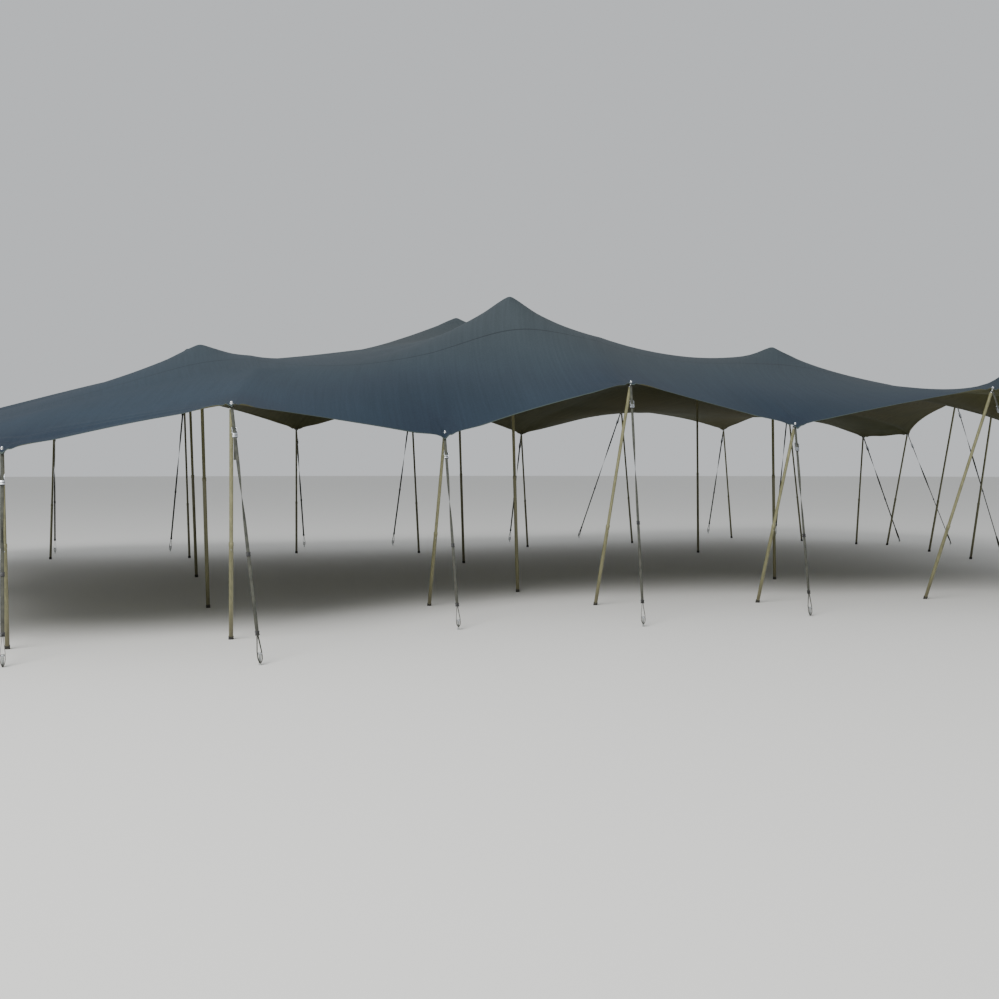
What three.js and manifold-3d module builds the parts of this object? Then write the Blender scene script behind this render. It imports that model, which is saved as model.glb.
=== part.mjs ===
// Freeform stretch tent: one tensioned canopy on leaning edge poles and upright inner poles,
// each edge pole held out by a ratchet strap that runs down to a ground stake.
// Millimetres, +Z up, X along the tent, -Y towards the side with the entrances, ground at Z = 0.

import * as THREE from 'three';
import { mergeVertices } from 'three/addons/utils/BufferGeometryUtils.js';
import Module from 'manifold-3d';

const wasm = await Module();
wasm.setup();

// Driving dimensions

const CANOPY_THICKNESS = 10;
const HEM_BOW = 0.085;
const HEM_LIFT = 0.015;
const FABRIC_SAG = 0.00005;
const HEAD_RADIUS = 50;
const GRID_PULL = 1200;
const RELAX_ROUNDS = 1500;
const RELAX_FACTOR = 1.8;

const SIDES = 8;
const SEAT_GAP = 0.35;
const TIP_OVERHANG = 45;
const TUBE_RADIUS = 21;
const FOOT_RADIUS = 27;
const FOOT_HEIGHT = 62;
const PIN_RADIUS = 8;
const PIN_LENGTH = 52;
const CAP_RADIUS = 55;
const CAP_HEIGHT = 75;

const RING_RADIUS = 26;
const RING_THICKNESS = 6;
const WEBBING_WIDTH = 28;
const WEBBING_THICKNESS = 4;
const RATCHET = { length: 86, width: 44, depth: 30 };
const RATCHET_DROP = 230;
const KEEPER = { length: 36, width: 38, depth: 12 };
const LOOP_LENGTH = 190;
const STAKE_RADIUS = 10;
const STAKE_HEIGHT = 100;
const STAKE_HEAD_RADIUS = 21;
const STAKE_HEAD_HEIGHT = 14;

// Edge supports in order round the canopy: the canopy tip, the pole's foot and the ground stake.

const FRONT_EDGE = [
  { name: 'front_left_corner', tip: [-9100, -4600, 1760], foot: [-8650, -4100], stake: [-9700, -5300] },
  { name: 'front_1', tip: [-7550, -4990, 1710], foot: [-7480, -4460], stake: [-7560, -5450] },
  { name: 'front_2', tip: [-5760, -5490, 2120], foot: [-5590, -4700], stake: [-5690, -6210] },
  { name: 'front_3', tip: [-3190, -4040, 1890], foot: [-2970, -3020], stake: [-3450, -5000] },
  { name: 'front_4', tip: [-1190, -4530, 2490], foot: [-1230, -3770], stake: [-1700, -5560] },
  { name: 'front_5', tip: [620, -5050, 2020], foot: [610, -4340], stake: [340, -5600] },
  { name: 'front_6', tip: [2680, -5920, 2460], foot: [2660, -4880], stake: [2450, -7000] },
  { name: 'front_right_corner', tip: [5400, -6800, 1700], foot: [5150, -6150], stake: [5850, -7500] },
];
const RIGHT_EDGE = [
  { name: 'right_1', tip: [7000, -3200, 1750], foot: [6500, -2980], stake: [7800, -3500] },
  { name: 'right_2', tip: [8320, -800, 2910], foot: [7880, -620], stake: [9300, -1000] },
  { name: 'right_3', tip: [9160, 900, 2780], foot: [8540, 990], stake: [9950, 650] },
  { name: 'right_4', tip: [9800, 2810, 2210], foot: [9140, 2720], stake: [10400, 2300] },
  { name: 'right_5', tip: [9390, 3670, 2170], foot: [8750, 3170], stake: [10050, 3350] },
  { name: 'right_6', tip: [8650, 5220, 2860], foot: [8420, 4450], stake: [9100, 6200] },
];
const BACK_EDGE = [
  { name: 'back_right_corner', tip: [7980, 6640, 2380], foot: [7700, 5930], stake: [8250, 7600] },
  { name: 'back_1', tip: [4960, 6060, 2760], foot: [4830, 5380], stake: [4700, 7400] },
  { name: 'back_2', tip: [2620, 6050, 2210], foot: [2370, 5240], stake: [2750, 6850] },
  { name: 'back_3', tip: [70, 5580, 2790], foot: [-120, 4670], stake: [150, 6800] },
  { name: 'back_4', tip: [-1980, 6210, 2250], foot: [-2160, 5540], stake: [-1570, 7120] },
  { name: 'back_5', tip: [-4090, 5980, 2790], foot: [-4130, 5220], stake: [-4150, 7000] },
  { name: 'back_6', tip: [-6200, 6630, 2300], foot: [-6320, 5950], stake: [-6130, 7400] },
  { name: 'back_left_corner', tip: [-8400, 6250, 1980], foot: [-8000, 5650], stake: [-8900, 6950] },
];
const LEFT_EDGE = [
  { name: 'left_1', tip: [-9100, 2600, 1980], foot: [-8500, 2600], stake: [-9950, 2750] },
  { name: 'left_2', tip: [-9100, -1050, 1680], foot: [-8550, -1050], stake: [-9900, -1200] },
];
const SUPPORTS = [...FRONT_EDGE, ...RIGHT_EDGE, ...BACK_EDGE, ...LEFT_EDGE];

// Inner poles: the peak that each one raises in the canopy, its foot, and how broad the peak is.

const INNER_POLES = [
  { name: 'inner_front_1', peak: [-5370, -2120, 2950], foot: [-5290, -2160], breadth: 850 },
  { name: 'inner_front_2', peak: [-1510, -2090, 3720], foot: [-1420, -2130], breadth: 2100 },
  { name: 'inner_front_3', peak: [2550, -2110, 3250], foot: [2580, -2130], breadth: 400 },
  { name: 'inner_front_4', peak: [4500, -4600, 2920], foot: [4500, -4560], breadth: 600 },
  { name: 'inner_back_1', peak: [-4810, 1660, 3260], foot: [-4700, 1610], breadth: 500 },
  { name: 'inner_back_2', peak: [-380, 2310, 4000], foot: [-270, 2260], breadth: 3500 },
  { name: 'inner_back_3', peak: [4520, 2610, 3500], foot: [4540, 2600], breadth: 900 },
];

// Cells along one hem span of each edge; opposite edges have the same total. The sheet is worked out
// on all of them and made of every second line.

const CELLS = { front: 12, back: 12, right: 6, left: 14 };
const KEPT_LINE = 2;

// Materials

const canvas = new THREE.MeshStandardMaterial({ color: 0x46505c, roughness: 0.85, metalness: 0 });
const tube = new THREE.MeshStandardMaterial({ color: 0x7a7358, roughness: 0.5, metalness: 0.6 });
const webbing = new THREE.MeshStandardMaterial({ color: 0x6c6d68, roughness: 0.8, metalness: 0 });

// Closed solids

const point = ([x, y, z = 0]) => new THREE.Vector3(x, y, z);

function closedSolid(geometry) {
  geometry.deleteAttribute('normal');
  geometry.deleteAttribute('uv');
  const merged = mergeVertices(geometry, 1e-3);
  const index = merged.index.array;
  const kept = [];
  for (let t = 0; t < index.length; t += 3) {
    const [a, b, c] = index.slice(t, t + 3);
    if (a !== b && b !== c && c !== a) {
      kept.push(a, b, c);
    }
  }
  merged.setIndex(kept);
  return merged;
}

function toManifold(geometry) {
  const solid = closedSolid(geometry);
  return new wasm.Manifold(new wasm.Mesh({
    numProp: 3,
    vertProperties: new Float32Array(solid.attributes.position.array),
    triVerts: new Uint32Array(solid.index.array),
  }));
}

function toGeometry(manifold) {
  const mesh = manifold.getMesh();
  const geometry = new THREE.BufferGeometry();
  geometry.setAttribute('position', new THREE.BufferAttribute(mesh.vertProperties, 3));
  geometry.setIndex(Array.from(mesh.triVerts));
  return geometry;
}

function lathe(profile) {
  return new THREE.LatheGeometry(profile.map(([r, y]) => new THREE.Vector2(r, y)), SIDES);
}

// A lathe solid stands on `base` with its own Y axis along `axis`.
function alongAxis(geometry, base, axis) {
  const turn = new THREE.Quaternion().setFromUnitVectors(new THREE.Vector3(0, 1, 0), axis);
  return geometry.applyMatrix4(new THREE.Matrix4().compose(base, turn, new THREE.Vector3(1, 1, 1)));
}

// Canopy: a grid laid between the four edges, pulled onto the peaks and relaxed like a stretched membrane

function hem(tips, cells, centre) {
  const points = [];
  for (let span = 0; span < tips.length - 1; span += 1) {
    const start = point(tips[span]);
    const end = point(tips[span + 1]);
    const along = end.clone().sub(start).setZ(0);
    const length = along.length();
    const inward = new THREE.Vector3(-along.y, along.x, 0).normalize();
    if (inward.dot(centre.clone().sub(start)) < 0) {
      inward.negate();
    }
    const first = span === 0 ? 0 : 1;
    for (let k = first; k <= cells; k += 1) {
      const t = k / cells;
      const crown = 4 * t * (1 - t) * length;
      const place = start.clone().lerp(end, t).addScaledVector(inward, HEM_BOW * crown);
      place.z += HEM_LIFT * crown;
      points.push(place);
    }
  }
  return points;
}

function canopyGrid() {
  const tips = (list) => list.map((support) => support.tip);
  const frontTips = tips(FRONT_EDGE);
  const backTips = tips(BACK_EDGE).reverse();
  const rightTips = [frontTips.at(-1), ...tips(RIGHT_EDGE), backTips.at(-1)];
  const leftTips = [frontTips[0], ...tips(LEFT_EDGE).reverse(), backTips[0]];
  const centre = new THREE.Vector3(0, 0, 0);
  const front = hem(frontTips, CELLS.front, centre);
  const back = hem(backTips, CELLS.back, centre);
  const right = hem(rightTips, CELLS.right, centre);
  const left = hem(leftTips, CELLS.left, centre);
  const columns = front.length;
  const rows = left.length;
  const grid = [];
  for (let i = 0; i < columns; i += 1) {
    const u = i / (columns - 1);
    grid.push([]);
    for (let j = 0; j < rows; j += 1) {
      const v = j / (rows - 1);
      const across = front[i].clone().multiplyScalar(1 - v).addScaledVector(back[i], v);
      across.addScaledVector(left[j], 1 - u).addScaledVector(right[j], u);
      across.addScaledVector(front[0], -(1 - u) * (1 - v)).addScaledVector(front.at(-1), -u * (1 - v));
      across.addScaledVector(back[0], -(1 - u) * v).addScaledVector(back.at(-1), -u * v);
      grid[i].push({ at: across, held: i === 0 || j === 0 || i === columns - 1 || j === rows - 1 });
    }
  }
  return grid;
}

function flatDistance(a, b) {
  return Math.hypot(a.x - b.x, a.y - b.y);
}

function keptLines(grid) {
  const kept = (item, line) => line % KEPT_LINE === 0;
  return grid.filter(kept).map((column) => column.filter(kept));
}

function pullOntoPeaks(grid) {
  for (const pole of INNER_POLES) {
    const peak = point(pole.peak);
    const choice = keptLines(grid).flat().filter((node) => !node.held);
    choice.sort((a, b) => flatDistance(a.at, peak) - flatDistance(b.at, peak));
    const [nearest] = choice;
    const centre = nearest.at.clone();
    const move = peak.clone().sub(centre).setZ(0);
    for (const node of grid.flat().filter((other) => !other.held)) {
      const reach = flatDistance(node.at, centre) / GRID_PULL;
      node.at.addScaledVector(move, Math.exp(-reach * reach));
    }
    nearest.held = true;
    nearest.at.copy(peak);
  }
}

function stiffness(place) {
  let value = 1;
  for (const pole of INNER_POLES) {
    value += pole.breadth / (flatDistance(place, point(pole.peak)) + HEAD_RADIUS);
  }
  return value;
}

function relax(grid) {
  const free = [];
  const pull = (i, j, di, dj) => {
    const here = grid[i][j].at;
    const next = grid[i + di][j + dj].at;
    const side = flatDistance(grid[i + dj][j + di].at, grid[i - dj][j - di].at) / 2;
    const middle = here.clone().add(next).multiplyScalar(0.5);
    return { node: grid[i + di][j + dj], weight: stiffness(middle) * side / flatDistance(here, next) };
  };
  for (let i = 1; i < grid.length - 1; i += 1) {
    for (let j = 1; j < grid[0].length - 1; j += 1) {
      if (!grid[i][j].held) {
        const links = [pull(i, j, 1, 0), pull(i, j, -1, 0), pull(i, j, 0, 1), pull(i, j, 0, -1)];
        const length = flatDistance(grid[i + 1][j].at, grid[i - 1][j].at) / 2;
        const width = flatDistance(grid[i][j + 1].at, grid[i][j - 1].at) / 2;
        free.push({ node: grid[i][j], links, load: FABRIC_SAG * length * width });
      }
    }
  }
  for (let round = 0; round < RELAX_ROUNDS; round += 1) {
    for (const { node, links, load } of free) {
      let sum = -load;
      let total = 0;
      for (const link of links) {
        sum += link.weight * link.node.at.z;
        total += link.weight;
      }
      node.at.z += RELAX_FACTOR * (sum / total - node.at.z);
    }
  }
}

function canopyTriangles(grid) {
  const rows = grid[0].length;
  const triangles = [];
  for (let i = 0; i < grid.length - 1; i += 1) {
    for (let j = 0; j < rows - 1; j += 1) {
      const a = i * rows + j;
      const b = a + rows;
      triangles.push([a, b, b + 1], [a, b + 1, a + 1]);
    }
  }
  return triangles;
}

function rimLoop(grid) {
  const columns = grid.length;
  const rows = grid[0].length;
  const loop = [];
  for (let i = 0; i < columns - 1; i += 1) {
    loop.push(i * rows);
  }
  for (let j = 0; j < rows - 1; j += 1) {
    loop.push((columns - 1) * rows + j);
  }
  for (let i = columns - 1; i > 0; i -= 1) {
    loop.push(i * rows + rows - 1);
  }
  for (let j = rows - 1; j > 0; j -= 1) {
    loop.push(j);
  }
  return loop;
}

function canopyGeometry(grid, triangles) {
  const nodes = grid.flat().map((node) => node.at);
  const count = nodes.length;
  const positions = [];
  for (const node of nodes) {
    positions.push(node.x, node.y, node.z);
  }
  for (const node of nodes) {
    positions.push(node.x, node.y, node.z - CANOPY_THICKNESS);
  }
  const index = [];
  for (const [a, b, c] of triangles) {
    index.push(a, b, c, a + count, c + count, b + count);
  }
  const loop = rimLoop(grid);
  loop.forEach((a, k) => {
    const b = loop[(k + 1) % loop.length];
    index.push(a, a + count, b + count, a, b + count, b);
  });
  const geometry = new THREE.BufferGeometry();
  geometry.setAttribute('position', new THREE.Float32BufferAttribute(positions, 3));
  geometry.setIndex(index);
  return geometry;
}

const grid = canopyGrid();
pullOntoPeaks(grid);
relax(grid);
const sheet = keptLines(grid);
const faces = canopyTriangles(sheet);
const nodes = sheet.flat().map((node) => node.at);
const panels = faces.map(([a, b, c]) => new THREE.Triangle(nodes[a], nodes[b], nodes[c]));

// Height of the canopy's underside over a point of the plan; nothing hangs there past the hem.
function undersideAt(x, y) {
  let height = Infinity;
  for (const panel of panels) {
    const { a, b, c } = panel;
    const area = (b.x - a.x) * (c.y - a.y) - (c.x - a.x) * (b.y - a.y);
    const s = ((x - a.x) * (c.y - a.y) - (c.x - a.x) * (y - a.y)) / area;
    const t = ((b.x - a.x) * (y - a.y) - (x - a.x) * (b.y - a.y)) / area;
    if (s >= 0 && t >= 0 && s + t <= 1) {
      height = Math.min(height, a.z + s * (b.z - a.z) + t * (c.z - a.z) - CANOPY_THICKNESS);
    }
  }
  return height;
}

// Poles

// Length at which a pole's top comes to rest just under the canopy. Its rims are given by their
// radius and how far they lie below the end.
function poleLength(foot, axis, rims, reach) {
  const corner = (radius, below, k) => {
    const angle = 2 * Math.PI * k / SIDES;
    return new THREE.Vector3(radius * Math.sin(angle), -below, radius * Math.cos(angle));
  };
  const across = [];
  for (const [radius, below] of rims) {
    for (let k = 0; k < SIDES; k += 1) {
      for (const t of [0, 0.25, 0.5, 0.75]) {
        across.push(corner(radius, below, k).lerp(corner(radius, below, k + 1), t));
      }
    }
  }
  const turn = new THREE.Quaternion().setFromUnitVectors(new THREE.Vector3(0, 1, 0), axis);
  across.forEach((offset) => offset.applyQuaternion(turn));
  const clearance = (length) => {
    const end = foot.clone().addScaledVector(axis, length);
    return Math.min(...across.map((offset) => undersideAt(end.x + offset.x, end.y + offset.y) - end.z - offset.z));
  };
  let low = reach - 300;
  let high = reach + 100;
  for (let step = 0; step < 40; step += 1) {
    const middle = (low + high) / 2;
    if (clearance(middle) > SEAT_GAP) {
      low = middle;
    } else {
      high = middle;
    }
  }
  return low;
}

// The foot is cut level with the ground, so a leaning pole stands on a flat face.
function levelFoot(geometry, axis) {
  const position = geometry.attributes.position;
  for (let k = 0; k < position.count; k += 1) {
    const height = position.getZ(k);
    if (height < 0) {
      position.setXYZ(k, position.getX(k) - axis.x * height / axis.z,
        position.getY(k) - axis.y * height / axis.z, 0);
    }
  }
  return geometry;
}

function edgePole(support) {
  const tip = point(support.tip);
  const foot = point(support.foot);
  const inward = foot.clone().sub(tip).setZ(0).normalize();
  const target = tip.clone().addScaledVector(inward, TIP_OVERHANG);
  const axis = target.clone().sub(foot).normalize();
  const length = poleLength(foot, axis, [[PIN_RADIUS, 0]], target.distanceTo(foot));
  const shoulder = length - PIN_LENGTH;
  const profile = [[0, -20], [FOOT_RADIUS, -20], [FOOT_RADIUS, FOOT_HEIGHT], [TUBE_RADIUS, FOOT_HEIGHT + 6],
    [TUBE_RADIUS, shoulder], [PIN_RADIUS, shoulder], [PIN_RADIUS, length], [0, length]];
  const geometry = levelFoot(alongAxis(lathe(profile), foot, axis), axis);
  return { geometry: closedSolid(geometry), axis, ringBase: foot.clone().addScaledVector(axis, shoulder + SEAT_GAP) };
}

function innerPole(pole) {
  const peak = point(pole.peak);
  const foot = point(pole.foot);
  const axis = peak.clone().sub(foot).normalize();
  const rims = [[12, 0], [24, 16], [36, 32], [46, 54], [CAP_RADIUS, CAP_HEIGHT]];
  const length = poleLength(foot, axis, rims, peak.distanceTo(foot));
  const neck = length - CAP_HEIGHT;
  const profile = [[0, -20], [FOOT_RADIUS, -20], [FOOT_RADIUS, FOOT_HEIGHT], [TUBE_RADIUS, FOOT_HEIGHT + 6],
    [TUBE_RADIUS, neck - 30], [CAP_RADIUS, neck], [36, length - 32], [12, length], [0, length]];
  return closedSolid(levelFoot(alongAxis(lathe(profile), foot, axis), axis));
}

// Stay: a loop over the pole's pin, flat webbing with one ratchet and two keepers, and the stake that its
// lower loop goes round

function barBetween(start, end, across, width, depth) {
  const along = end.clone().sub(start);
  const length = along.length();
  along.normalize();
  const through = new THREE.Vector3().crossVectors(along, across);
  const frame = new THREE.Matrix4().makeBasis(across, through, along);
  frame.setPosition(start.clone().add(end).multiplyScalar(0.5));
  return new THREE.BoxGeometry(width, depth, length).applyMatrix4(frame);
}

function stay(support, pole) {
  const hole = PIN_RADIUS + SEAT_GAP;
  const loop = lathe([[hole, 0], [RING_RADIUS, 0], [RING_RADIUS, RING_THICKNESS], [hole, RING_THICKNESS], [hole, 0]]);
  alongAxis(loop, pole.ringBase, pole.axis);
  const ringMiddle = pole.ringBase.clone().addScaledVector(pole.axis, RING_THICKNESS / 2);
  const stakeFoot = point(support.stake);
  const stakeTop = stakeFoot.clone().setZ(STAKE_HEIGHT - STAKE_HEAD_HEIGHT - WEBBING_WIDTH / 2 - 4);
  const outward = stakeFoot.clone().sub(ringMiddle);
  outward.addScaledVector(pole.axis, -outward.dot(pole.axis)).normalize();
  const start = ringMiddle.clone().addScaledVector(outward, RING_RADIUS - 3);
  const down = stakeTop.clone().sub(start).normalize();
  const across = new THREE.Vector3().crossVectors(down, pole.axis).normalize();
  const run = stakeTop.distanceTo(start);
  const fittingAt = (distance, size) => barBetween(
    start.clone().addScaledVector(down, distance - size.length / 2),
    start.clone().addScaledVector(down, distance + size.length / 2), across, size.width, size.depth);
  const parting = start.clone().addScaledVector(down, run - LOOP_LENGTH);
  const strand = (side) => barBetween(
    parting, stakeTop.clone().addScaledVector(across, side * (STAKE_RADIUS + WEBBING_THICKNESS / 2)),
    across, WEBBING_THICKNESS, WEBBING_WIDTH);
  const neck = STAKE_HEIGHT - STAKE_HEAD_HEIGHT;
  const bend = STAKE_RADIUS + WEBBING_THICKNESS;
  const stake = alongAxis(lathe([[0, 0], [STAKE_RADIUS, 0], [STAKE_RADIUS, stakeTop.z - WEBBING_WIDTH / 2],
    [bend, stakeTop.z - WEBBING_WIDTH / 2], [bend, neck], [STAKE_HEAD_RADIUS, neck],
    [STAKE_HEAD_RADIUS, STAKE_HEIGHT - 4], [STAKE_HEAD_RADIUS - 6, STAKE_HEIGHT], [0, STAKE_HEIGHT]]),
  stakeFoot, new THREE.Vector3(0, 0, 1));
  const parts = [
    loop,
    barBetween(start, parting, across, WEBBING_WIDTH, WEBBING_THICKNESS),
    strand(-1),
    strand(1),
    fittingAt(RATCHET_DROP, RATCHET),
    fittingAt((RATCHET_DROP + run - LOOP_LENGTH) / 2, KEEPER),
    fittingAt(run - LOOP_LENGTH, KEEPER),
    stake,
  ];
  return toGeometry(parts.map(toManifold).reduce((whole, next) => whole.add(next)));
}

// Assembly

const tent = new THREE.Group();

function addPiece(name, geometry, material) {
  const mesh = new THREE.Mesh(geometry, material);
  mesh.name = name;
  tent.add(mesh);
}

addPiece('canopy', canopyGeometry(sheet, faces), canvas);
for (const pole of INNER_POLES) {
  addPiece(`pole_${pole.name}`, innerPole(pole), tube);
}
for (const support of SUPPORTS) {
  const pole = edgePole(support);
  addPiece(`pole_${support.name}`, pole.geometry, tube);
  addPiece(`stay_${support.name}`, stay(support, pole), webbing);
}

// The origin is on the ground under the middle of the whole tent.
const middle = new THREE.Box3().setFromObject(tent).getCenter(new THREE.Vector3());
tent.position.set(-middle.x, -middle.y, 0);

export default tent;
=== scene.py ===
import math

import bmesh
import bpy
import numpy as np
from mathutils import Matrix, Vector


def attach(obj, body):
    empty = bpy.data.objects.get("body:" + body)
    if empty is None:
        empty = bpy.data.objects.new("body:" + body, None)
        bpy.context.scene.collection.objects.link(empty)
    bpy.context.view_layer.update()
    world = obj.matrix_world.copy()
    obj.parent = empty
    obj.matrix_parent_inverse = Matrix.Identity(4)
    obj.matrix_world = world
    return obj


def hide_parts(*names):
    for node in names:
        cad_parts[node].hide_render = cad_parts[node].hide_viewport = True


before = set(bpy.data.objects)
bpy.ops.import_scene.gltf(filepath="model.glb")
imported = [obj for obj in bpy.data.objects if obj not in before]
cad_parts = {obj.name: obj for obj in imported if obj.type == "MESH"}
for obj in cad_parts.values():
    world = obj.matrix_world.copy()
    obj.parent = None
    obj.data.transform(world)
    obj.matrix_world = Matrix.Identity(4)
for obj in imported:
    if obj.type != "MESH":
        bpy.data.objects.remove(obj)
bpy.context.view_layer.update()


# Viewpoint. A level camera at eye height on the open side of the tent, 45 degrees across. The tent runs
# on past both sides of the picture.
def in_scene(name, data):
    """Puts a mesh, camera or lamp into the scene as an object."""
    made = bpy.data.objects.new(name, data)
    bpy.context.scene.collection.objects.link(made)
    return made


# The plan's zero point as the frame has it. The frame's origin is under the middle of the whole tent.
plan_origin = np.array((-0.2288, -0.0488))


def in_frame(x, y, *height):
    """Moves a place from the plan into the frame."""
    return (plan_origin[0] + x, plan_origin[1] + y, *height)


eye = bpy.data.cameras.new("eye")
eye.lens = 43.135
eye.sensor_width = 36
eye.shift_y = -0.0345
eye.clip_end = 300
viewer = in_scene("viewer", eye)
viewer.location = in_frame(-8.00, -15.70, 1.6)
viewer.rotation_euler = (math.radians(90), 0, math.radians(-25))
bpy.context.scene.camera = viewer


# Canopy. One sheet of knitted polyester that stretches four ways, with a rubbery coating: dark slate
# above, olive brown below. It is pulled from its hem onto edge poles and stays, and seven inner poles
# push it up. Panels 1.6 m wide are joined by flat overlapped seams, and the hem is folded and stitched.

# Each edge pole: the sheet's tip, the pole's foot and the stake, in metres on the plan.
supports = {
    "front_left_corner": ((-9.10, -4.60, 1.76), (-8.65, -4.10), (-9.70, -5.30)),
    "front_1": ((-7.55, -4.99, 1.71), (-7.48, -4.46), (-7.56, -5.45)),
    "front_2": ((-5.76, -5.49, 2.12), (-5.59, -4.70), (-5.69, -6.21)),
    "front_3": ((-3.19, -4.04, 1.89), (-2.97, -3.02), (-3.45, -5.00)),
    "front_4": ((-1.19, -4.53, 2.49), (-1.23, -3.77), (-1.70, -5.56)),
    "front_5": ((0.62, -5.05, 2.02), (0.61, -4.34), (0.34, -5.60)),
    "front_6": ((2.68, -5.92, 2.46), (2.66, -4.88), (2.45, -7.00)),
    "front_right_corner": ((5.40, -6.80, 1.70), (5.15, -6.15), (5.85, -7.50)),
    "right_1": ((7.00, -3.20, 1.75), (6.50, -2.98), (7.80, -3.50)),
    "right_2": ((8.32, -0.80, 2.91), (7.88, -0.62), (9.30, -1.00)),
    "right_3": ((9.16, 0.90, 2.78), (8.54, 0.99), (9.95, 0.65)),
    "right_4": ((9.80, 2.81, 2.21), (9.14, 2.72), (10.40, 2.30)),
    "right_5": ((9.39, 3.67, 2.17), (8.75, 3.17), (10.05, 3.35)),
    "right_6": ((8.65, 5.22, 2.86), (8.42, 4.45), (9.10, 6.20)),
    "back_right_corner": ((7.98, 6.64, 2.38), (7.70, 5.93), (8.25, 7.60)),
    "back_1": ((4.96, 6.06, 2.76), (4.83, 5.38), (4.70, 7.40)),
    "back_2": ((2.62, 6.05, 2.21), (2.37, 5.24), (2.75, 6.85)),
    "back_3": ((0.07, 5.58, 2.79), (-0.12, 4.67), (0.15, 6.80)),
    "back_4": ((-1.98, 6.21, 2.25), (-2.16, 5.54), (-1.57, 7.12)),
    "back_5": ((-4.09, 5.98, 2.79), (-4.13, 5.22), (-4.15, 7.00)),
    "back_6": ((-6.20, 6.63, 2.30), (-6.32, 5.95), (-6.13, 7.40)),
    "back_left_corner": ((-8.40, 6.25, 1.98), (-8.00, 5.65), (-8.90, 6.95)),
    "left_1": ((-9.10, 2.60, 1.98), (-8.50, 2.60), (-9.95, 2.75)),
    "left_2": ((-9.10, -1.05, 1.68), (-8.55, -1.05), (-9.90, -1.20)),
}

# Each inner pole: the sheet's peak and the pole's foot on the plan, and how widely the doubled cloth round
# its head stiffens the sheet.
peaks = {
    "inner_front_1": ((-5.37, -2.12, 2.95), (-5.29, -2.16), 1.25),
    "inner_front_2": ((-1.51, -2.09, 3.72), (-1.42, -2.13), 2.90),
    "inner_front_3": ((2.55, -2.11, 3.25), (2.58, -2.13), 1.00),
    "inner_front_4": ((4.50, -4.60, 2.92), (4.50, -4.56), 0.40),
    "inner_back_1": ((-4.81, 1.66, 3.26), (-4.70, 1.61), 0.60),
    "inner_back_2": ((-0.38, 2.31, 4.00), (-0.27, 2.26), 5.10),
    "inner_back_3": ((4.52, 2.61, 3.50), (4.54, 2.60), 0.70),
}

supports = {name: [in_frame(*place) for place in places] for name, places in supports.items()}
peaks = {name: (in_frame(*peak), in_frame(*foot), spread) for name, (peak, foot, spread) in peaks.items()}

front_side = ["front_left_corner"] + [f"front_{k}" for k in range(1, 7)] + ["front_right_corner"]
right_side = ["front_right_corner"] + [f"right_{k}" for k in range(1, 7)] + ["back_right_corner"]
back_side = ["back_left_corner"] + [f"back_{k}" for k in range(6, 0, -1)] + ["back_right_corner"]
left_side = ["front_left_corner", "left_2", "left_1", "back_left_corner"]

# How far the hem is drawn in and up between two tips, for each metre from the one to the other.
drawn_in, drawn_up, drawn_up_steep = 0.085, 0.015, 0.080


def hem_line(names, cells):
    """The hem from tip to tip: between two tips it is drawn in and a little up, as a taut edge is, and up
    most in the steep bay on the right."""
    points = [np.array(supports[names[0]][0])]
    for first, second in zip(names, names[1:]):
        a = np.array(supports[first][0])
        b = np.array(supports[second][0])
        bay = np.hypot(*(b - a)[:2])
        inward = np.array((a[1] - b[1], b[0] - a[0])) / bay
        if inward @ (plan_origin - a[:2]) < 0:
            inward = -inward
        for t in np.arange(1, cells + 1) / cells:
            bow = 4 * t * (1 - t) * bay
            place = a + (b - a) * t
            place[:2] += inward * drawn_in * bow
            place[2] += (drawn_up_steep if first == "right_1" else drawn_up) * bow
            points.append(place)
    return np.array(points)


peak_pull = 1.2     # how far round a peak the net's points are shifted with it, in metres


def stretch_between_hems():
    """A net of points between the four hems, drawn onto the peaks, with the points that are held."""
    front, back = hem_line(front_side, 30), hem_line(back_side, 30)
    left, right = hem_line(left_side, 35), hem_line(right_side, 15)
    u = np.linspace(0, 1, len(front))[:, None, None]
    v = np.linspace(0, 1, len(left))[None, :, None]
    net = (1 - v) * front[:, None] + v * back[:, None] + (1 - u) * left[None] + u * right[None]
    net -= (1 - u) * (1 - v) * front[0] + u * (1 - v) * front[-1] + (1 - u) * v * back[0] + u * v * back[-1]
    held = np.zeros(net.shape[:2], bool)
    held[[0, -1]] = held[:, [0, -1]] = True
    for peak, foot, spread in peaks.values():
        away = np.hypot(net[..., 0] - peak[0], net[..., 1] - peak[1])
        away[held] = np.inf
        i, j = np.unravel_index(away.argmin(), away.shape)
        shift = np.hypot(net[..., 0] - net[i, j, 0], net[..., 1] - net[i, j, 1])
        near = np.exp(-shift ** 2 / peak_pull ** 2)
        near[[0, -1]] = near[:, [0, -1]] = 0
        net[..., :2] += near[..., None] * (np.array(peak) - net[i, j])[:2]
        net[i, j] = peak
        held[i, j] = True
    return net, held


# Near a peak the stiffness grows as spread / (distance + stiff_core), and more so on the doubled disc.
stiff_core, disc_extra, disc_reach = 0.05, 0.59, 0.4
sheet_weight = 0.095    # a square metre's weight against the sheet's pull on a metre
overshoot, rounds = 1.93, 1600      # each round moves the points this far past their level, to settle sooner


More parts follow.
